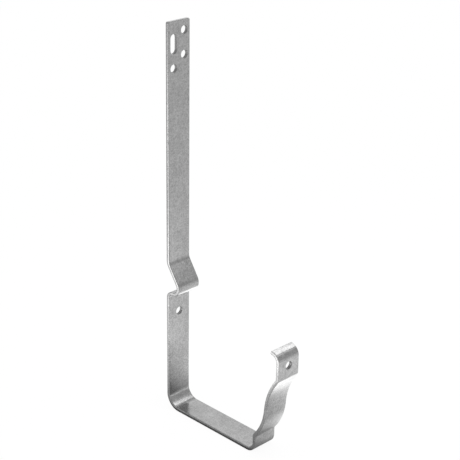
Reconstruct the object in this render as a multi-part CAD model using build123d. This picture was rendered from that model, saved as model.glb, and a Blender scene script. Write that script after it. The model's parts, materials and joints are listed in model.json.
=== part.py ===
from build123d import *
from math import cos, radians, sin
import os

# A gutter bracket, bent from one length of flat steel bar, punched and hot-dip galvanised.
# The long arm is fixed against the wall. The nose below it laps over the gutter's back edge,
# the bottom carries the gutter, and the ogee front ends in a hook for the gutter's front bead.
#
# Axes: X runs across the bar, the wall lies on +Y, the gutter side faces -Y and Z is up.
# The origin is on the back face of the arm, in the middle of the bar and of the fixing holes.
# All sizes are in millimetres. Bend radii are inside radii, and turns are in degrees.

# Bar stock
bar_width = 30.0
bar_thickness = 4.0
bar_edge_radius = 0.6
top_corner_radius = 2.0

# Room for the gutter
gutter_bottom_width = 129.5
gutter_back_height = 135.5
overall_height = 440.0

# Nose over the gutter's back edge
nose_angle = 34.0
nose_return_leg = 0.5
kink_radius = 10.0
nose_radius = 7.0
return_radius = 4.0

# Bottom corners
back_corner_radius = 13.5
front_corner_radius = 8.0

# Ogee front, from the bottom upwards
lip_leg = 7.5
lip_radius = 4.0
lip_turn = 39.0
belly_radius = 60.5
belly_turn = 35.0
cove_radius = 73.0
cove_turn = 28.5
ramp_leg = 5.7
plate_radius = 3.0
plate_leg = 18.4

# Hook for the front bead
hook_radius = 7.0
hook_turn = 77.0
hook_leg = 2.7

# Fixing holes in the arm: two in the right-hand column, a slot and one more in the left-hand one
hole_diameter = 9.0
hole_rim_bevel = 0.3
slot_width = 9.0
slot_length = 21.0
fixing_column = 7.2
fixing_pitch = 12.7
fixing_from_top = 23.7

# Single holes on the bar's middle line
back_hole_below_nose = 23.8
plate_hole_below_hook = 6.2

half_thickness = bar_thickness / 2
side_view = Plane(origin=(0, 0, 0), x_dir=(0, -1, 0), z_dir=(-1, 0, 0))


def middle_radius(inside_radius):
    """Radius of the bar's middle line in a bend."""
    return inside_radius + half_thickness


def leg(run, length):
    """Carries the bar straight on."""
    end = run[-1] @ 1
    run.append(Line(end, end + (run[-1] % 1) * length))


def bend(run, inside_radius, turn):
    """Bends the bar on from its end, with a positive turn to the left of the run."""
    run.append(JernArc(run[-1] @ 1, run[-1] % 1, middle_radius(inside_radius), turn))


def straight_between(room, first_radius, last_radius):
    """Straight part of a leg that closes in this much room and ends in two square bends."""
    return room + bar_thickness - middle_radius(first_radius) - middle_radius(last_radius)


def nose_leg():
    """Straight part of the nose's slope: it reaches out as far as the two bends below bring it back."""
    tilt = radians(nose_angle)
    way_back = middle_radius(nose_radius) + middle_radius(return_radius) + nose_return_leg
    taken_by_bends = (middle_radius(kink_radius) + middle_radius(nose_radius)) * (1 - cos(tilt))
    return (way_back - taken_by_bends) / sin(tilt)


def arm_foot_height():
    """Height of the arm's lower end, where the nose begins, above the underside of the bottom."""
    tilt = radians(nose_angle)
    nose_centre = bar_thickness + gutter_back_height + half_thickness + middle_radius(nose_radius)
    bends = (middle_radius(kink_radius) + middle_radius(nose_radius)) * sin(tilt)
    return nose_centre + bends + nose_leg() * cos(tilt)


def middle_line():
    """The bar's middle line in side view, from the top of the arm to the tip of the hook.

    In this view x is the distance out from the wall and y is the height above the underside.
    """
    top = (half_thickness, overall_height)
    run = [Line(top, (half_thickness, arm_foot_height()))]
    bend(run, kink_radius, nose_angle)
    leg(run, nose_leg())
    bend(run, nose_radius, -90 - nose_angle)
    leg(run, nose_return_leg)
    bend(run, return_radius, 90)
    leg(run, straight_between(gutter_back_height, return_radius, back_corner_radius))
    bend(run, back_corner_radius, 90)
    leg(run, straight_between(gutter_bottom_width, back_corner_radius, front_corner_radius))
    bend(run, front_corner_radius, 90)
    leg(run, lip_leg)
    bend(run, lip_radius, -lip_turn)
    bend(run, belly_radius, belly_turn)
    bend(run, cove_radius, -cove_turn)
    leg(run, ramp_leg)
    bend(run, plate_radius, lip_turn - belly_turn + cove_turn)
    leg(run, plate_leg)
    plate = run[-1]
    bend(run, hook_radius, hook_turn)
    leg(run, hook_leg)
    return run, plate


def rounded_outline(bar):
    """Rounds the edges all round both wide faces, where the bar was rolled and sheared."""
    least_width = bar_width - top_corner_radius
    wide_faces = [face for face in bar.faces() if face.bounding_box().size.X > least_width]
    face_edges = [edge for face in wide_faces for edge in face.edges()]
    outline = [edge for edge in face_edges if face_edges.count(edge) == 1]
    return fillet(outline, bar_edge_radius)


def bent_bar(run):
    """The bar bent to its middle line, before it is punched."""
    wire = Wire([side_view.from_local_coords(piece) for piece in run])
    cross_cut = Plane(origin=wire @ 0, x_dir=(1, 0, 0), z_dir=wire % 0)
    bar = sweep(cross_cut * Rectangle(bar_width, bar_thickness), path=wire)
    top_end = bar.faces().sort_by_distance(wire @ 0)[0]
    top_corners = top_end.edges().filter_by(Axis.Y)
    return rounded_outline(fillet(top_corners, top_corner_radius))


def punched(bar, outline, across, height, front):
    """The bar with one hole punched through from its front face, which eases the rim there."""
    mouth = Plane(origin=(across, -front, height), x_dir=(1, 0, 0), z_dir=(0, -1, 0))
    punch = extrude(mouth * outline, 2 * bar_thickness, both=True)
    holed = bar - punch
    cut_edges = new_edges(bar, punch, combined=holed)
    rim = cut_edges.filter_by_position(Axis.Y, -front - half_thickness, -front + half_thickness)
    return chamfer(rim, hole_rim_bevel)


def punchings(plate):
    """Every hole: its outline, place across the bar and height, and how far out its front face lies."""
    round_hole = Circle(hole_diameter / 2)
    slot = SlotOverall(slot_length, slot_width, rotation=90)
    group = overall_height - fixing_from_top
    back_hole = bar_thickness + gutter_back_height - back_hole_below_nose
    plate_top = plate @ 1
    return [
        (round_hole, fixing_column, group + fixing_pitch, bar_thickness),
        (round_hole, fixing_column, group - fixing_pitch, bar_thickness),
        (slot, -fixing_column, group, bar_thickness),
        (round_hole, -fixing_column, group - 2 * fixing_pitch, bar_thickness),
        (round_hole, 0, back_hole, bar_thickness),
        (round_hole, 0, plate_top.Y - plate_hole_below_hook, plate_top.X + half_thickness),
    ]


def gutter_bracket():
    """The finished bracket, in its own frame."""
    run, plate = middle_line()
    bar = bent_bar(run)
    for outline, across, height, front in punchings(plate):
        bar = punched(bar, outline, across, height, front)
    return Pos(0, 0, fixing_from_top - overall_height) * bar


os.makedirs("parts", exist_ok=True)
bracket = gutter_bracket()
print("volume", round(bracket.volume), "mm3, size", bracket.bounding_box().size)
export_step(bracket, "parts/gutter_bracket.step")
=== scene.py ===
# %% [markdown]
# # A galvanised gutter bracket, made from one flat bar
#
# The real bracket is a single length of flat steel bar. In the workshop it is sheared to length,
# punched while it is still flat, bent round a few formers and then dipped in molten zinc.
#
# This lesson makes it in the same order: a flat blank, six punched holes, one bend after another,
# and the zinc last. Working flat first keeps every hole round and every edge the same all along
# the bar, which is hard to get right on a shape that is already bent.

# %% Load the frame
import json
import math

import bmesh
import bpy
from mathutils import Matrix, Vector


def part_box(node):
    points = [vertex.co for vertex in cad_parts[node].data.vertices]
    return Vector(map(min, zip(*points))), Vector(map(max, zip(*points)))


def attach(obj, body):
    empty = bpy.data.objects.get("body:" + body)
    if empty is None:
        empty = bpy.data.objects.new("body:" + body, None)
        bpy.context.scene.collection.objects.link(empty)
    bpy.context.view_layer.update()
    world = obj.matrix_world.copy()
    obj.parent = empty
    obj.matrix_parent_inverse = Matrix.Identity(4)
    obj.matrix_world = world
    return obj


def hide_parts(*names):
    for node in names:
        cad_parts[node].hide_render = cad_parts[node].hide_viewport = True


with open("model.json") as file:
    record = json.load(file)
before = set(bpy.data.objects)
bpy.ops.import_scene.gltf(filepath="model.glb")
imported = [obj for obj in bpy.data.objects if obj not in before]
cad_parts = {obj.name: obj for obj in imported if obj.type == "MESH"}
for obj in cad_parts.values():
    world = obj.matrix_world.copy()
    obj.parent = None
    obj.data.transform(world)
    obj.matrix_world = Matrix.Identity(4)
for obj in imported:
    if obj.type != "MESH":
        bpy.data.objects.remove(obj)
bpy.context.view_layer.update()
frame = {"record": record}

# %% [markdown]
# ## The bar and its bends
#
# A bracket like this is described on paper by its bar stock and by what happens along it: a
# straight leg, a bend of some inside radius through some angle, the next leg. Blender works in
# metres, so every millimetre below is scaled once. The overall height and the width are read off
# the frame, and the holes are read off the record's mounts, so they agree with the solid.
#
# The narrow side shows a fine light line and a fine dark line. They need a front edge that is
# rounder than the back one, and a side that isn't quite flat between them.

# %% Sizes of the bar
MM = 0.001
NODE = "gutter_bracket"
node_low, node_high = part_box(NODE)

bar_width = node_high.x - node_low.x
bar_top = node_high.z
floor_height = node_low.z
bar_thickness = 4.0 * MM
half_thickness = bar_thickness / 2
front_edge_radius = 0.8 * MM
back_edge_radius = 0.4 * MM
top_corner_radius = 2.0 * MM
print("bar", round(bar_width / MM, 2), "mm wide")
print("top", round(bar_top / MM, 2), "mm, floor", round(floor_height / MM, 2), "mm")

# %% Sizes of the bends
gutter_bottom_width = 129.5 * MM
gutter_back_height = 135.5 * MM

nose_angle = 34.0
nose_return_leg = 0.5 * MM
kink_radius = 10.0 * MM
nose_radius = 7.0 * MM
return_radius = 4.0 * MM

back_corner_radius = 13.5 * MM
front_corner_radius = 8.0 * MM

lip_leg = 7.5 * MM
lip_radius = 4.0 * MM
lip_turn = 39.0
belly_radius = 60.5 * MM
belly_turn = 35.0
cove_radius = 73.0 * MM
cove_turn = 28.5
ramp_leg = 5.7 * MM
plate_radius = 3.0 * MM
plate_leg = 18.4 * MM

hook_radius = 7.0 * MM
hook_turn = 77.0
hook_leg = 2.7 * MM


# %% Lengths that follow from them
def middle_radius(inside_radius):
    """Radius of the bar's middle line in a bend."""
    return inside_radius + half_thickness


def nose_leg_length():
    """The nose's slope reaches out as far as the two bends below it bring the bar back."""
    tilt = math.radians(nose_angle)
    way_back = middle_radius(nose_radius) + middle_radius(return_radius) + nose_return_leg
    bends = middle_radius(kink_radius) + middle_radius(nose_radius)
    return (way_back - bends * (1 - math.cos(tilt))) / math.sin(tilt)


def arm_length():
    """From the bar's top end down to the bend above the nose."""
    tilt = math.radians(nose_angle)
    nose_centre = bar_thickness + gutter_back_height + half_thickness + middle_radius(nose_radius)
    bends = (middle_radius(kink_radius) + middle_radius(nose_radius)) * math.sin(tilt)
    foot = nose_centre + bends + nose_leg_length() * math.cos(tilt)
    return (bar_top - floor_height) - foot


def straight_between(room, first_radius, last_radius):
    """Straight part of a leg that closes in this much room and ends in two square bends."""
    return room + bar_thickness - middle_radius(first_radius) - middle_radius(last_radius)


# %% The run of legs and bends
# A leg is its name, its length and a turn of 0. A bend is its name, its inside radius and its
# turn in degrees, which is positive towards the bar's front face.
moves = [
    ("arm", arm_length(), 0),
    ("kink", kink_radius, nose_angle),
    ("nose slope", nose_leg_length(), 0),
    ("nose", nose_radius, -90 - nose_angle),
    ("nose return", nose_return_leg, 0),
    ("return bend", return_radius, 90),
    ("back leg", straight_between(gutter_back_height, return_radius, back_corner_radius), 0),
    ("back corner", back_corner_radius, 90),
    ("bottom", straight_between(gutter_bottom_width, back_corner_radius, front_corner_radius), 0),
    ("front corner", front_corner_radius, 90),
    ("lip", lip_leg, 0),
    ("lip bend", lip_radius, -lip_turn),
    ("belly", belly_radius, belly_turn),
    ("cove", cove_radius, -cove_turn),
    ("ramp", ramp_leg, 0),
    ("plate bend", plate_radius, lip_turn - belly_turn + cove_turn),
    ("plate", plate_leg, 0),
    ("hook bend", hook_radius, hook_turn),
    ("hook", hook_leg, 0),
]
all_turns = sum(abs(turn) for _, _, turn in moves)
print(len(moves), "legs and bends, turning", all_turns, "degrees in all")

# %% [markdown]
# ## The middle line
#
# The bends are walked one after another, as a turtle would walk them, and every step leaves a
# station: how far along the bar it is, where it lies in side view, and which way the bar's front
# face looks there. Legs need a station only near each end, while a bend needs one every two
# degrees, because satin metal still shows every facet that is larger than that.

# %% Walk the bends
degrees_per_step = 2.0
leg_end_gap = 0.3 * MM


def along(heading):
    """The way that the bar runs: a heading of 0 is straight down."""
    return Vector((0, -math.sin(heading), -math.cos(heading)))


def outward(heading):
    """The way that the bar's front face looks."""
    return Vector((0, -math.cos(heading), math.sin(heading)))


def walk(moves):
    """The stations along the middle line, each with its distance, place, front and move."""
    place = Vector((0, -half_thickness, bar_top))
    heading = 0.0
    distance = 0.0
    stations = []

    def drop(name):
        stations.append({
            "distance": distance,
            "place": place.copy(),
            "front": outward(heading),
            "move": name,
        })

    drop(moves[0][0])
    for name, size, turn in moves:
        if turn == 0:
            gap = min(leg_end_gap, size / 3)
            for step in (gap, size - 2 * gap, gap):
                place = place + along(heading) * step
                distance += step
                drop(name)
            continue
        side = math.copysign(1, turn)
        steps = math.ceil(abs(turn) / degrees_per_step)
        centre = place + outward(heading) * middle_radius(size) * side
        for _ in range(steps):
            heading += math.radians(turn) / steps
            corner = centre - outward(heading) * middle_radius(size) * side
            distance += (corner - place).length
            place = corner
            drop(name)
    return stations


stations = walk(moves)
bar_length = stations[-1]["distance"]
print(len(stations), "stations along", round(bar_length / MM, 1), "mm of bar")


# %% Draw the middle line
def add_object(name, data):
    """A new object with this data, placed in the scene."""
    thing = bpy.data.objects.new(name, data)
    bpy.context.scene.collection.objects.link(thing)
    return thing


def middle_line_edges(stations):
    """A chain of edges through the stations, whose points carry the front face's direction."""
    data = bpy.data.meshes.new("middle_line")
    places = [station["place"] for station in stations]
    data.from_pydata(places, [(i, i + 1) for i in range(len(places) - 1)], [])
    front = data.attributes.new("front", "FLOAT_VECTOR", "POINT")
    front.data.foreach_set("vector", [c for station in stations for c in station["front"]])
    return add_object("middle_line", data)


middle_line = middle_line_edges(stations)
print("the middle line has", len(middle_line.data.edges), "edges")

# %% [markdown]
# ## The flat blank
#
# The blank hangs straight down from the top of the arm, so its upper part is already where the
# arm will be. Its outline is a long rectangle whose top corners are rounded. Going round that
# outline once for each layer of the rounded edge gives the whole skin, and straight rungs across
# both wide faces let it bend later without twisting.

# %% Outline of the blank
corner_steps = 6


def outline_side(side):
    """One long side of the blank from the top down: across, distance, and the way outward."""
    points = []
    centre_across = bar_width / 2 - top_corner_radius
    for step in range(corner_steps + 1):
        angle = math.radians(90) * (1 - step / corner_steps)
        across = centre_across + top_corner_radius * math.cos(angle)
        distance = top_corner_radius * (1 - math.sin(angle))
        points.append((side * across, distance, side * math.cos(angle), -math.sin(angle)))
    for station in stations:
        if station["distance"] > top_corner_radius + leg_end_gap:
            points.append((side * bar_width / 2, station["distance"], side, 0))
    # The last point is the square corner of the hook's end, so its edge is rounded both ways.
    last_across, last_distance, _, _ = points[-1]
    points[-1] = (last_across, last_distance, side, 1)
    return points


print(len(outline_side(1)), "outline points a side")

# %% Layers of the narrow side
edge_steps = 6
crown_steps = 3
crown_angle = 8.0


def edge_layers():
    """The narrow side from the front face to the back face: how far in it lies, and how deep.

    The side is rolled with a slight crown, which runs into the rounded edges without a crease.
    """
    tilt = math.radians(crown_angle)
    layers = []
    for end, edge_radius in ((-1, front_edge_radius), (1, back_edge_radius)):
        straight = half_thickness - edge_radius
        crown = straight * math.tan(tilt) / 2
        radius = edge_radius / (1 - math.sin(tilt))
        half = []
        for step in range(edge_steps):
            angle = math.radians(90) - (math.radians(90) - tilt) * step / edge_steps
            inset = crown + radius * (math.cos(tilt) - math.cos(angle))
            depth = straight + radius * (math.sin(angle) - math.sin(tilt))
            half.append((inset, end * depth))
        for step in range(crown_steps, 0, -1):
            share = step / crown_steps
            half.append((crown * share ** 2, end * straight * share))
        # The middle of the side stands out furthest, and the back half is listed from there on.
        layers += half if end < 0 else [(0, 0)] + half[::-1]
    return layers


print(len(edge_layers()), "layers from the front face to the back face")


# %% Build the blank
def skin_between(mesh, rings):
    """Faces between each ring of vertices and the next one."""
    count = len(rings[0])
    for upper, lower in zip(rings, rings[1:]):
        for i in range(count):
            j = (i + 1) % count
            mesh.faces.new((upper[i], upper[j], lower[j], lower[i]))


def closed_mesh(name, mesh):
    """Turns a closed shape's faces outwards and hands it over as plain mesh data."""
    bmesh.ops.recalc_face_normals(mesh, faces=mesh.faces)
    data = bpy.data.meshes.new(name)
    mesh.to_mesh(data)
    mesh.free()
    return data


def flat_blank():
    """The sheared bar before punching: x runs across, y through it and z down along it."""
    left, right = outline_side(-1), outline_side(1)
    outline = right + left[::-1]
    mesh = bmesh.new()
    rings = []
    for inset, depth in edge_layers():
        ring = []
        for across, distance, way_across, way_down in outline:
            x = across - inset * way_across
            z = bar_top - (distance - inset * way_down)
            ring.append(mesh.verts.new((x, depth, z)))
        rings.append(ring)
    skin_between(mesh, rings)
    count = len(outline)
    for ring in (rings[0], rings[-1]):
        for i in range(len(right) - 1):
            mesh.faces.new((ring[i], ring[i + 1], ring[count - 2 - i], ring[count - 1 - i]))
    return add_object("flat_blank", closed_mesh("flat_blank", mesh))


blank = flat_blank()
print("blank has", len(blank.data.vertices), "vertices and", len(blank.data.polygons), "faces")

# %% [markdown]
# ## The punch
#
# A punch drives through the bar from the front, so it draws the front rim in and leaves a
# narrower rim behind. The punch here is a closed tool whose side follows those two rims. The slot
# needs no tool of its own: each point of the punch knows whether it belongs to the upper or the
# lower half, so the halves can be pulled apart. The places come from the mounts.

# %% Where the holes are
mounts = {mount["name"]: mount for mount in frame["record"]["mounts"]}


def mount_place(name):
    """Place of a mount in the frame."""
    return Vector(mounts[name]["pos_m"])


pair_pitch = mounts["upright_pair"]["dims"]["spacing_y_mm"] * MM
upper_hole = mount_place("upright_pair") + Vector((0, 0, pair_pitch / 2))
middle_hole = mount_place("upright_pair") - Vector((0, 0, pair_pitch / 2))
lower_hole = 2 * mount_place("staggered_pair") - middle_hole
hole_radius = mounts["upright_pair"]["dims"]["hole_r_mm"] * MM
slot_reach = mounts["slot"]["dims"]["slot_length_mm"] * MM / 2 - hole_radius

# Each hole: the leg that it is in, its place, and how far its halves are pulled apart
holes = [
    ("arm", upper_hole, 0),
    ("arm", middle_hole, 0),
    ("arm", lower_hole, 0),
    ("arm", mount_place("slot"), slot_reach),
    ("back leg", mount_place("back_hole"), 0),
    ("plate", mount_place("front_hole"), 0),
]
print(len(holes), "holes of radius", round(hole_radius / MM, 2), "mm")
print("the slot's halves are pulled", round(slot_reach / MM, 2), "mm each way")

# %% Side of the punch
front_rim = 0.35 * MM
back_rim = 0.2 * MM
rim_steps = 4
tool_overrun = 1.0 * MM


def punch_profile():
    """Side of the tool from front to back: how much wider than the hole, and how deep."""
    profile = [(front_rim + tool_overrun, -half_thickness - tool_overrun)]
    for step in range(rim_steps + 1):
        angle = math.radians(90) * step / rim_steps
        wider = front_rim * (1 - math.sin(angle))
        depth = -half_thickness + front_rim * (1 - math.cos(angle))
        profile.append((wider, depth))
    for step in range(rim_steps + 1):
        angle = math.radians(90) * (1 - step / rim_steps)
        wider = back_rim * (1 - math.sin(angle))
        depth = half_thickness - back_rim * (1 - math.cos(angle))
        profile.append((wider, depth))
    profile.append((back_rim + tool_overrun, half_thickness + tool_overrun))
    return profile


print("the punch's side has", len(punch_profile()), "points")

# %% Build the punch
round_steps = 48
torn_depth = half_thickness - front_rim


def closed_punch():
    """The tool for one round hole, with a pull of 1 on its upper half and -1 on its lower half.

    Its faces between the two rims are marked as torn, because the steel breaks off there.
    """
    mesh = bmesh.new()
    rings = []
    for wider, depth in punch_profile():
        ring = []
        for step in range(round_steps):
            angle = math.tau * (step + 0.5) / round_steps
            x = (hole_radius + wider) * math.cos(angle)
            z = (hole_radius + wider) * math.sin(angle)
            ring.append(mesh.verts.new((x, depth, z)))
        rings.append(ring)
    skin_between(mesh, rings)
    mesh.faces.new(rings[0])
    mesh.faces.new(rings[-1][::-1])
    data = closed_mesh("punch", mesh)
    pull = data.attributes.new("pull", "FLOAT", "POINT")
    pull.data.foreach_set("value", [math.copysign(1, vertex.co.z) for vertex in data.vertices])
    torn = data.attributes.new("torn", "FLOAT", "FACE")
    walls = [float(abs(face.center.y) < torn_depth) for face in data.polygons]
    torn.data.foreach_set("value", walls)
    return add_object("punch", data)


punch = closed_punch()
print("the punch has", len(punch.data.vertices), "vertices")


# %% Mark the holes on the flat bar
def station_distance(move, height):
    """Distance along the bar to this height on an upright leg."""
    start = next(station for station in stations if station["move"] == move)
    return start["distance"] + abs(start["place"].z - height)


def punch_marks():
    """One point for each hole, at its middle on the flat blank, with how far it is pulled."""
    data = bpy.data.meshes.new("punch_marks")
    places = [(place.x, 0, bar_top - station_distance(move, place.z)) for move, place, _ in holes]
    data.from_pydata(places, [], [])
    reach = data.attributes.new("reach", "FLOAT", "POINT")
    reach.data.foreach_set("value", [pulled for _, _, pulled in holes])
    return add_object("punch_marks", data)


marks = punch_marks()
print("marked", len(marks.data.vertices), "holes on the blank")

# %% [markdown]
# ## Punch and bend
#
# Both steps are rules, so Geometry Nodes do them. The tree sets the punch on every mark, pulls it
# apart where a slot is marked, and cuts all of them out of the blank. Then it keeps each point's
# flat place, for the zinc to follow later, and bends the bar: a point that lies so far down the
# blank goes to that distance along the middle line, and its depth is measured along the front
# direction there.


# %% Small helpers for node trees
def add_node(tree, kind, settings=None, **values):
    """A node of this kind with its settings and the values of its inputs."""
    node = tree.nodes.new(kind)
    for name, value in (settings or {}).items():
        setattr(node, name, value)
    for name, value in values.items():
        node.inputs[name.replace("_", " ")].default_value = value
    return node


def wire(tree, source, target):
    """Joins an output to an input."""
    tree.links.new(source, target)


def enabled(sockets, name):
    """The socket of this name that the node's settings have switched on."""
    return next(socket for socket in sockets if socket.name == name and socket.enabled)


def maths(tree, operation, *sources):
    """A Math node whose inputs are outputs of other nodes or plain numbers."""
    node = add_node(tree, "ShaderNodeMath", {"operation": operation})
    for socket, source in zip(node.inputs, sources):
        if isinstance(source, (int, float)):
            socket.default_value = source
        else:
            wire(tree, source, socket)
    return node.outputs["Value"]


# %% Helpers that read what the tree is given
def shape_of(tree, given, name):
    """The geometry of the object that is given under this name."""
    node = add_node(tree, "GeometryNodeObjectInfo")
    wire(tree, given.outputs[name], node.inputs["Object"])
    return node.outputs["Geometry"]


def carried(tree, name, kind):
    """The value that the geometry's points carry under this name."""
    node = add_node(tree, "GeometryNodeInputNamedAttribute", {"data_type": kind}, Name=name)
    return enabled(node.outputs, "Attribute")


# %% The part of the tree that punches
def cut_holes(tree, given):
    """The flat bar with the punch driven through it at every mark."""
    place = add_node(tree, "GeometryNodeInstanceOnPoints")
    wire(tree, shape_of(tree, given, "Marks"), place.inputs["Points"])
    wire(tree, shape_of(tree, given, "Punch"), place.inputs["Instance"])
    real_tools = add_node(tree, "GeometryNodeRealizeInstances")
    wire(tree, place.outputs["Instances"], real_tools.inputs["Geometry"])
    pull, reach = carried(tree, "pull", "FLOAT"), carried(tree, "reach", "FLOAT")
    apart = add_node(tree, "ShaderNodeCombineXYZ")
    wire(tree, maths(tree, "MULTIPLY", pull, reach), apart.inputs["Z"])
    tools = add_node(tree, "GeometryNodeSetPosition")
    wire(tree, real_tools.outputs["Geometry"], tools.inputs["Geometry"])
    wire(tree, apart.outputs["Vector"], tools.inputs["Offset"])
    exact_cut = {"operation": "DIFFERENCE", "solver": "EXACT"}
    cut = add_node(tree, "GeometryNodeMeshBoolean", exact_cut)
    wire(tree, given.outputs["Blank"], cut.inputs["Mesh 1"])
    wire(tree, tools.outputs["Geometry"], cut.inputs["Mesh 2"])
    return cut.outputs["Mesh"]


# %% The part of the tree that bends
def vector_sum(tree, first, second):
    """Adds two vectors."""
    node = add_node(tree, "ShaderNodeVectorMath", {"operation": "ADD"})
    wire(tree, first, node.inputs[0])
    wire(tree, second, node.inputs[1])
    return node.outputs["Vector"]


def bend_to_line(tree, given, flat_bar):
    """The flat bar laid along the middle line, with every point's flat place kept."""
    flat_place = add_node(tree, "GeometryNodeInputPosition").outputs["Position"]
    as_vector = {"data_type": "FLOAT_VECTOR"}
    keep = add_node(tree, "GeometryNodeStoreNamedAttribute", as_vector, Name="flat_place")
    wire(tree, flat_bar, keep.inputs["Geometry"])
    wire(tree, flat_place, enabled(keep.inputs, "Value"))

    flat = add_node(tree, "ShaderNodeSeparateXYZ")
    wire(tree, flat_place, flat.inputs["Vector"])
    line = add_node(tree, "GeometryNodeMeshToCurve")
    wire(tree, shape_of(tree, given, "Middle line"), line.inputs["Mesh"])
    by_length = {"mode": "LENGTH", "data_type": "FLOAT_VECTOR"}
    sample = add_node(tree, "GeometryNodeSampleCurve", by_length)
    wire(tree, line.outputs["Curve"], sample.inputs["Curves"])
    wire(tree, carried(tree, "front", "FLOAT_VECTOR"), enabled(sample.inputs, "Value"))
    distance = maths(tree, "SUBTRACT", given.outputs["Bar top"], flat.outputs["Z"])
    wire(tree, distance, sample.inputs["Length"])

    depth = add_node(tree, "ShaderNodeVectorMath", {"operation": "SCALE"})
    wire(tree, enabled(sample.outputs, "Value"), depth.inputs[0])
    wire(tree, maths(tree, "MULTIPLY", flat.outputs["Y"], -1), depth.inputs["Scale"])
    across = add_node(tree, "ShaderNodeCombineXYZ")
    wire(tree, flat.outputs["X"], across.inputs["X"])
    middle = vector_sum(tree, sample.outputs["Position"], depth.outputs["Vector"])
    bent = add_node(tree, "GeometryNodeSetPosition")
    wire(tree, keep.outputs["Geometry"], bent.inputs["Geometry"])
    wire(tree, vector_sum(tree, middle, across.outputs["Vector"]), bent.inputs["Position"])
    return bent.outputs["Geometry"]


# %% The whole tree
tree_inputs = [
    ("Blank", "NodeSocketGeometry"),
    ("Marks", "NodeSocketObject"),
    ("Punch", "NodeSocketObject"),
    ("Middle line", "NodeSocketObject"),
    ("Bar top", "NodeSocketFloat"),
    ("Finish", "NodeSocketMaterial"),
]


def punching_tree():
    """Geometry Nodes that cut the holes out of the flat bar and bend it to its middle line."""
    tree = bpy.data.node_groups.new("punch_and_bend", "GeometryNodeTree")
    for name, kind in tree_inputs:
        tree.interface.new_socket(name, in_out="INPUT", socket_type=kind)
    tree.interface.new_socket("Bracket", in_out="OUTPUT", socket_type="NodeSocketGeometry")
    given = tree.nodes.new("NodeGroupInput")
    result = tree.nodes.new("NodeGroupOutput")
    smooth = add_node(tree, "GeometryNodeSetShadeSmooth")
    wire(tree, bend_to_line(tree, given, cut_holes(tree, given)), smooth.inputs["Geometry"])
    real = add_node(tree, "GeometryNodeRealizeInstances")
    wire(tree, smooth.outputs["Geometry"], real.inputs["Geometry"])
    dipped = add_node(tree, "GeometryNodeSetMaterial")
    wire(tree, real.outputs["Geometry"], dipped.inputs["Geometry"])
    wire(tree, given.outputs["Finish"], dipped.inputs["Material"])
    wire(tree, dipped.outputs["Geometry"], result.inputs["Bracket"])
    return tree


tree = punching_tree()
print("the tree has", len(tree.nodes), "nodes")

# %% [markdown]
# ## The zinc
#
# Hot-dip galvanised steel is a soft, satin grey. Close up it has a fine grain, a faint spangle of
# zinc crystals a few millimetres across, and cloudy patches where the coat cooled at a different
# speed. Long faint streaks follow the bar, because the rolled steel under the zinc has them.
#
# Four procedural patterns make these. Three read the object's own coordinates, and the streaks
# read the flat place, so they run along the bar and round every bend. Each pattern moves the grey
# or the dullness a little round its middle value. The torn walls of the holes are darker and dull.

# %% Sizes and tones of the zinc
grain_scale = 1 / (1.8 * MM)
crystal_scale = 1 / (3.0 * MM)
cloud_scale = 1 / (22.0 * MM)
streak_width = 1.2 * MM
streak_length = 60.0 * MM
grain_height = 0.1 * MM
pattern_range = (0.3, 0.7)

zinc_grey = 0.40
grain_grey = 0.08
crystal_grey = 0.02
cloud_grey = 0.02
streak_grey = 0.015
torn_grey = 0.32

zinc_dullness = 0.22
grain_dullness = 0.03
crystal_dullness = 0.02
cloud_dullness = -0.03
torn_dullness = 0.5


# %% The zinc's four patterns
def zinc_patterns(tree):
    """The grain, the crystals' two random values, the clouds and the streaks."""
    place = add_node(tree, "ShaderNodeTexCoord").outputs["Object"]
    grain = add_node(tree, "ShaderNodeTexNoise", Scale=grain_scale, Detail=3.0, Roughness=0.6)
    wire(tree, place, grain.inputs["Vector"])
    spangle = add_node(tree, "ShaderNodeTexVoronoi", Scale=crystal_scale)
    wire(tree, place, spangle.inputs["Vector"])
    crystal = add_node(tree, "ShaderNodeSeparateColor")
    wire(tree, spangle.outputs["Color"], crystal.inputs["Color"])
    cloud = add_node(tree, "ShaderNodeTexNoise", Scale=cloud_scale, Detail=2.0)
    wire(tree, place, cloud.inputs["Vector"])

    flat = add_node(tree, "ShaderNodeAttribute", {"attribute_name": "flat_place"})
    stretch = add_node(tree, "ShaderNodeMapping")
    stretch.inputs["Scale"].default_value = (1 / streak_width, 1 / streak_width, 1 / streak_length)
    wire(tree, flat.outputs["Vector"], stretch.inputs["Vector"])
    streak = add_node(tree, "ShaderNodeTexNoise", Scale=1.0, Detail=2.0)
    wire(tree, stretch.outputs["Vector"], streak.inputs["Vector"])
    return grain.outputs["Fac"], crystal.outputs, cloud.outputs["Fac"], streak.outputs["Fac"]


# %% Helpers for tones
def swing(tree, pattern, middle, reach):
    """Turns a pattern's middle range into a value that swings by this reach round its middle."""
    node = add_node(tree, "ShaderNodeMapRange")
    node.inputs["From Min"].default_value = pattern_range[0]
    node.inputs["From Max"].default_value = pattern_range[1]
    node.inputs["To Min"].default_value = middle - reach
    node.inputs["To Max"].default_value = middle + reach
    wire(tree, pattern, node.inputs["Value"])
    return node.outputs["Result"]


def total(tree, *values):
    """Adds several values."""
    amount = values[0]
    for value in values[1:]:
        amount = maths(tree, "ADD", amount, value)
    return amount


def unless_torn(tree, torn, value, torn_value):
    """The value, or this one on the torn walls of the holes."""
    node = add_node(tree, "ShaderNodeMix", {"data_type": "FLOAT"})
    wire(tree, torn, enabled(node.inputs, "Factor"))
    wire(tree, value, enabled(node.inputs, "A"))
    enabled(node.inputs, "B").default_value = torn_value
    return enabled(node.outputs, "Result")


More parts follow.
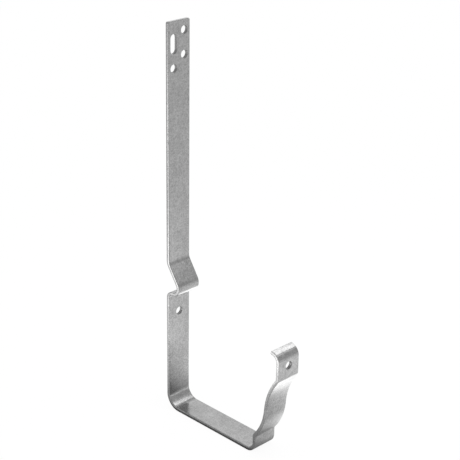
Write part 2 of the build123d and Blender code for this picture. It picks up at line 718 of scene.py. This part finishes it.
# %% The galvanised finish
def galvanised_steel():
    """Zinc on rolled steel: grain, spangle, clouds and rolling streaks in one procedural finish."""
    material = bpy.data.materials.new("galvanised_steel")
    material.use_nodes = True
    tree = material.node_tree
    tree.nodes.clear()
    result = tree.nodes.new("ShaderNodeOutputMaterial")
    metal = add_node(tree, "ShaderNodeBsdfPrincipled", Metallic=1.0)
    wire(tree, metal.outputs["BSDF"], result.inputs["Surface"])
    grain, crystal, cloud, streak = zinc_patterns(tree)
    torn = add_node(tree, "ShaderNodeAttribute", {"attribute_name": "torn"}).outputs["Fac"]

    grey = total(
        tree,
        swing(tree, grain, zinc_grey, grain_grey),
        swing(tree, crystal["Red"], 0, crystal_grey),
        swing(tree, cloud, 0, cloud_grey),
        swing(tree, streak, 0, streak_grey),
    )
    colour = add_node(tree, "ShaderNodeCombineColor")
    grey = unless_torn(tree, torn, grey, torn_grey)
    for channel in ("Red", "Green", "Blue"):
        wire(tree, grey, colour.inputs[channel])
    wire(tree, colour.outputs["Color"], metal.inputs["Base Color"])

    dullness = total(
        tree,
        swing(tree, grain, zinc_dullness, grain_dullness),
        swing(tree, crystal["Green"], 0, crystal_dullness),
        swing(tree, cloud, 0, cloud_dullness),
    )
    wire(tree, unless_torn(tree, torn, dullness, torn_dullness), metal.inputs["Roughness"])
    bump = add_node(tree, "ShaderNodeBump", Strength=0.25, Distance=grain_height)
    wire(tree, grain, bump.inputs["Height"])
    wire(tree, bump.outputs["Normal"], metal.inputs["Normal"])
    return material


zinc = galvanised_steel()
print("the zinc has", len(zinc.node_tree.nodes), "nodes")

# %% [markdown]
# ## The finished bar
#
# Now the tree runs on the blank. What comes out is taken as a plain mesh, so that the bar is an
# ordinary object, and the blank and its helpers go. Weighted normals keep the wide faces evenly
# lit right up to their rounded edges.


# %% Punch, bend and dip the bar
def set_input(modifier, name, value):
    """Sets a named input of the tree through its socket's identifier."""
    for item in modifier.node_group.interface.items_tree:
        if item.item_type == "SOCKET" and item.in_out == "INPUT" and item.name == name:
            modifier[item.identifier] = value


def bend_bar(blank):
    """Runs the tree on the blank and returns the finished bar as a plain mesh."""
    modifier = blank.modifiers.new("punch_and_bend", "NODES")
    modifier.node_group = tree
    set_input(modifier, "Marks", marks)
    set_input(modifier, "Punch", punch)
    set_input(modifier, "Middle line", middle_line)
    set_input(modifier, "Bar top", bar_top)
    set_input(modifier, "Finish", zinc)
    blank.modifiers.new("even_normals", "WEIGHTED_NORMAL")
    graph = bpy.context.evaluated_depsgraph_get()
    seen = blank.evaluated_get(graph)
    data = bpy.data.meshes.new_from_object(seen, preserve_all_data_layers=True, depsgraph=graph)
    return add_object("bent_bar", data)


bar = bend_bar(blank)
for helper in (blank, marks, middle_line, punch):
    bpy.data.objects.remove(helper)
print("the bar has", len(bar.data.vertices), "vertices and", len(bar.data.polygons), "faces")

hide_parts(NODE)
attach(bar, "root")

# %% [markdown]
# ## The floor
#
# Bare metal shows its surroundings, so the studio is built out of what the zinc mirrors from each
# side. A Light Path node in the floor's finish tells the rays apart. To the camera the floor is
# white, with only a little of the bracket's shadow. To the metal it glows with a painted pale tone
# and a painted shadow that darkens softly towards the bracket's foot, with painted soft cards on
# it: painted pools of light for the narrow sides, the front and the underside of the nose, and
# painted dark patches that draw a line round the edges.
#
# Only the floor and the room know about the camera's rays. The zinc doesn't, so the bracket looks
# like zinc in any other studio too.

# %% Tones of the floor
floor_size = 8.0
footprint_depth = 130 * MM
floor_paint = (0.8, 0.8, 0.8, 1)

# The camera sees a little of the lit paint, for the shadow, and mostly the glow. Away from the
# bracket the two come to plain white together.
floor_glow = 1.092
shadow_share = 0.15

# The distance from the bracket's foot in millimetres, and the floor's painted shade there, which is
# a painted shadow close to the foot
shade_ramp = [(2, 0.2), (8, 0.45), (25, 0.5), (60, 0.78), (130, 1.06), (300, 1.1), (800, 0.82)]

# Each painted card, a pool of light or a dark patch painted on the floor: its middle and its reach
# in millimetres, both towards the back right and towards the back left, and the light that it adds
painted_floor_cards = [
    # Painted pools of light for the light lines along the narrow sides of the nose's slope and the
    # arm
    ((-90, 400), (70, 130), 3.0),
    ((-240, 1000), (150, 350), 2.4),
    ((-330, 600), (130, 350), 1.6),
    # Painted dark patches for the darker back half of the same sides
    ((160, 750), (100, 450), -0.5),
    # Painted pools of light for the plate's narrow side and its front edge, and a painted dark
    # patch for the hook's darker side
    ((-127, 135), (40, 35), 3.2),
    ((-115, 230), (40, 40), -0.5),
    ((-235, 105), (60, 45), 3.2),
    # A painted pool of light for the underside of the nose
    ((95, -88), (75, 40), 1.8),
    # Painted pools of light for the front of the bar, from the plate and the ramp down over the
    # belly to the lip
    ((-54, -151), (20, 20), 1.5),
    ((-35, -170), (20, 20), 0.8),
    ((-71, -134), (20, 20), 0.7),
    ((-97, -122), (16, 16), 0.3),
    ((-117, -384), (60, 90), 0.25),
    ((-60, -187), (20, 20), 0.7),
    # Painted dark patches further off, which draw a line round the bar
    ((424, 424), (200, 200), -0.6),
    ((707, 0), (300, 300), -0.6),
    ((-500, 0), (300, 250), -0.7),
]
print("the floor has", len(painted_floor_cards), "soft cards")


# %% The painted shadow round the foot
def way_from_foot(tree, place):
    """The way from the nearest point under the bracket's foot to this point of the floor."""
    parts = []
    for axis, low, high in (("X", -bar_width / 2, bar_width / 2), ("Y", -footprint_depth, 0)):
        under = add_node(tree, "ShaderNodeClamp", Min=low, Max=high)
        wire(tree, place.outputs[axis], under.inputs["Value"])
        parts.append(maths(tree, "SUBTRACT", place.outputs[axis], under.outputs["Result"]))
    way = add_node(tree, "ShaderNodeCombineXYZ")
    wire(tree, parts[0], way.inputs["X"])
    wire(tree, parts[1], way.inputs["Y"])
    return way.outputs["Vector"]


def shade_by_distance(tree, way):
    """The floor's painted shade: a painted shadow that is dark close to the foot, light round it,
    and a little darker far away.

    Distances count by their logarithm, so the ramp is as fine close by as it is far away.
    """
    far = add_node(tree, "ShaderNodeVectorMath", {"operation": "LENGTH"})
    wire(tree, way, far.inputs[0])
    never_zero = maths(tree, "MAXIMUM", far.outputs["Value"], 0.1 * MM)
    low, high = (math.log10(shade_ramp[end][0] * MM) for end in (0, -1))
    spread = add_node(tree, "ShaderNodeMapRange")
    spread.inputs["From Min"].default_value = low
    spread.inputs["From Max"].default_value = high
    wire(tree, maths(tree, "LOGARITHM", never_zero, 10), spread.inputs["Value"])
    ramp = add_node(tree, "ShaderNodeFloatCurve")
    curve = ramp.mapping.curves[0]
    points = [
        ((math.log10(distance * MM) - low) / (high - low), shade)
        for distance, shade in shade_ramp
    ]
    for x, y in points[1:-1]:
        curve.points.new(x, y)
    curve.points[0].location = points[0]
    curve.points[-1].location = points[-1]
    for point in curve.points:
        point.handle_type = "VECTOR"
    ramp.mapping.update()
    wire(tree, spread.outputs["Result"], ramp.inputs["Value"])
    return ramp.outputs["Value"]


# %% A soft painted card on the floor
def painted_soft_card(tree, place, middle, reach):
    """A painted card with soft edges: 1 in its middle, and fading over its reach both ways."""
    diagonal = math.sqrt(0.5)
    x, y = place.outputs["X"], place.outputs["Y"]
    back_right = maths(tree, "MULTIPLY", maths(tree, "ADD", x, y), diagonal)
    back_left = maths(tree, "MULTIPLY", maths(tree, "SUBTRACT", y, x), diagonal)
    squares = []
    for way, centre, size in zip((back_right, back_left), middle, reach):
        off = maths(tree, "MULTIPLY_ADD", way, 1 / (size * MM), -centre / size)
        squares.append(maths(tree, "MULTIPLY", off, off))
    return maths(tree, "EXPONENT", maths(tree, "MULTIPLY", total(tree, *squares), -1))


# %% The floor's finish
def floor_tone(tree):
    """What the metal sees of the floor: the painted shadow round the foot and all the painted
    cards.
    """
    place = add_node(tree, "ShaderNodeSeparateXYZ")
    wire(tree, add_node(tree, "ShaderNodeTexCoord").outputs["Object"], place.inputs["Vector"])
    tone = shade_by_distance(tree, way_from_foot(tree, place))
    for middle, reach, light in painted_floor_cards:
        tone = maths(tree, "MULTIPLY_ADD", painted_soft_card(tree, place, middle, reach), light, tone)
    return maths(tree, "MAXIMUM", tone, 0)


def mixed(tree, share, first, second):
    """Two shaders mixed, with this share of the second."""
    node = add_node(tree, "ShaderNodeMixShader")
    if isinstance(share, float):
        node.inputs["Fac"].default_value = share
    else:
        wire(tree, share, node.inputs["Fac"])
    wire(tree, first, node.inputs[1])
    wire(tree, second, node.inputs[2])
    return node.outputs["Shader"]


def floor_finish():
    """White with a faint shadow to the camera, and the studio's painted tones, painted shadow and
    painted cards to the metal.
    """
    material = bpy.data.materials.new("pale_floor")
    material.use_nodes = True
    material.cycles.emission_sampling = "NONE"
    tree = material.node_tree
    tree.nodes.clear()
    result = tree.nodes.new("ShaderNodeOutputMaterial")
    path = add_node(tree, "ShaderNodeLightPath")
    paint = add_node(tree, "ShaderNodeBsdfDiffuse", Color=floor_paint).outputs["BSDF"]
    glow = add_node(tree, "ShaderNodeEmission", Strength=floor_glow).outputs["Emission"]
    mirrored = add_node(tree, "ShaderNodeEmission")
    wire(tree, floor_tone(tree), mirrored.inputs["Strength"])
    seen = mixed(tree, 1 - shadow_share, paint, glow)
    to_camera = mixed(tree, path.outputs["Is Camera Ray"], paint, seen)
    to_metal = mixed(tree, path.outputs["Is Glossy Ray"], to_camera, mirrored.outputs["Emission"])
    wire(tree, to_metal, result.inputs["Surface"])
    return material


# %% Floor
def studio_floor():
    """A wide pale floor that the bracket stands on."""
    data = bpy.data.meshes.new("floor")
    half = floor_size / 2
    corners = [
        (x * half, y * half, floor_height) for x, y in ((-1, -1), (1, -1), (1, 1), (-1, 1))
    ]
    data.from_pydata(corners, [], [(0, 1, 2, 3)])
    data.materials.append(floor_finish())
    return add_object("floor", data)


floor = studio_floor()
print("the floor's finish has", len(floor.data.materials[0].node_tree.nodes), "nodes")

# %% [markdown]
# ## The room
#
# The room above the floor is white to the camera and a plain pale grey to the metal. It gets a
# little lighter at the back right, which is the side that the level bottom of the bracket mirrors.

# %% Room
plain_white = (1, 1, 1, 1)
room_grey = 0.58
lighter_way = Vector((0.652, 0.65, 0.39)).normalized()
lighter_by = 0.64
lighter_sharpness = 20


def room_tone(tree):
    """The room's grey, which rises softly towards its lighter side."""
    way = add_node(tree, "ShaderNodeTexCoord").outputs["Generated"]
    facing = add_node(tree, "ShaderNodeVectorMath", {"operation": "DOT_PRODUCT"})
    wire(tree, way, facing.inputs[0])
    facing.inputs[1].default_value = lighter_way
    ahead = maths(tree, "MAXIMUM", facing.outputs["Value"], 0)
    soft = maths(tree, "POWER", ahead, lighter_sharpness)
    return maths(tree, "MULTIPLY_ADD", soft, lighter_by, room_grey)


def studio_room():
    """The room: white to the camera, and a plain pale grey with a lighter side for the metal."""
    world = bpy.data.worlds.new("room")
    bpy.context.scene.world = world
    world.use_nodes = True
    tree = world.node_tree
    tree.nodes.clear()
    result = tree.nodes.new("ShaderNodeOutputWorld")
    light = add_node(tree, "ShaderNodeBackground", Color=plain_white)
    wire(tree, room_tone(tree), light.inputs["Strength"])
    white = add_node(tree, "ShaderNodeBackground", Color=plain_white, Strength=1.0)
    path = add_node(tree, "ShaderNodeLightPath")
    light, white = light.outputs["Background"], white.outputs["Background"]
    wire(tree, mixed(tree, path.outputs["Is Camera Ray"], light, white), result.inputs["Surface"])
    return world


room = studio_room()
print("the room has", len(room.node_tree.nodes), "nodes")

# %% [markdown]
# ## The lamps
#
# The rounded top of the hook shows a bright highlight. Two soft lamps off to the right give it:
# a long one for its bright middle, and a short, dim one that softens its lower end. They stand
# well away from the bracket, because a near lamp would show in the nose too.

# %% Lamps
lamp_aim = Vector((0, -160, -290)) * MM
lamp_width = 90 * MM

# Each lamp: its place in millimetres, its length and its brightness
hook_lamps = [
    ((326, -125, 104), 370 * MM, 2.15),
    ((326, -420, 78), 150 * MM, 0.8),
]


def soft_lamp(place, length, brightness):
    """A long soft lamp that looks at the hook, as bright as a glowing card of this strength."""
    data = bpy.data.lights.new("soft_lamp", "AREA")
    data.shape = "RECTANGLE"
    data.size = length
    data.size_y = lamp_width
    data.energy = brightness * math.pi * length * lamp_width
    lamp = add_object("soft_lamp", data)
    lamp.visible_camera = False
    back = (place - lamp_aim).normalized()
    lengthwise = (Vector((0, 1, 0)) - back * back.y).normalized()
    axes = Matrix((lengthwise, back.cross(lengthwise), back)).transposed().to_4x4()
    lamp.matrix_world = Matrix.Translation(place) @ axes
    return lamp


for place, length, brightness in hook_lamps:
    lamp = soft_lamp(Vector(place) * MM, length, brightness)
    print("lamp of", round(lamp.data.energy, 3), "W")

# %% [markdown]
# ## The camera
#
# The camera's place was found by laying the bracket's known edges over the photograph's, which
# gives a long lens from the front left, a little above.

# %% Camera
camera_azimuth = math.radians(-45.076)
camera_elevation = math.radians(22.942)
camera_roll = math.radians(0.892)
camera_lens_px = 1321.86
frame_px = 460
camera_distance = 1372.996 * MM
sight = Vector((0, -60 * MM, floor_height + 220 * MM))
sight_px = Vector((215.906, 237.965))


def photo_camera():
    """A camera that sees the sight point at its pixel, from the fitted direction and distance."""
    ahead = Vector((-math.sin(camera_azimuth), math.cos(camera_azimuth), 0))
    down = Vector((0, 0, -1))
    forward = ahead * math.cos(camera_elevation) + down * math.sin(camera_elevation)
    level = Vector((math.cos(camera_azimuth), math.sin(camera_azimuth), 0))
    upright = level.cross(forward)
    right = level * math.cos(camera_roll) + upright * math.sin(camera_roll)
    up = upright * math.cos(camera_roll) - level * math.sin(camera_roll)
    per_px = camera_distance / camera_lens_px
    place = sight - forward * camera_distance
    place -= right * (sight_px.x - frame_px / 2) * per_px
    place += up * (sight_px.y - frame_px / 2) * per_px
    data = bpy.data.cameras.new("camera")
    data.lens = camera_lens_px / frame_px * data.sensor_width
    camera = add_object("camera", data)
    axes = Matrix((right, up, -forward)).transposed().to_4x4()
    camera.matrix_world = Matrix.Translation(place) @ axes
    bpy.context.scene.camera = camera
    return camera


camera = photo_camera()
camera_place = tuple(round(c, 3) for c in camera.matrix_world.translation)
print("lens", round(camera.data.lens, 2), "mm, camera at", camera_place)
bpy.context.scene.view_settings.view_transform = "Standard"
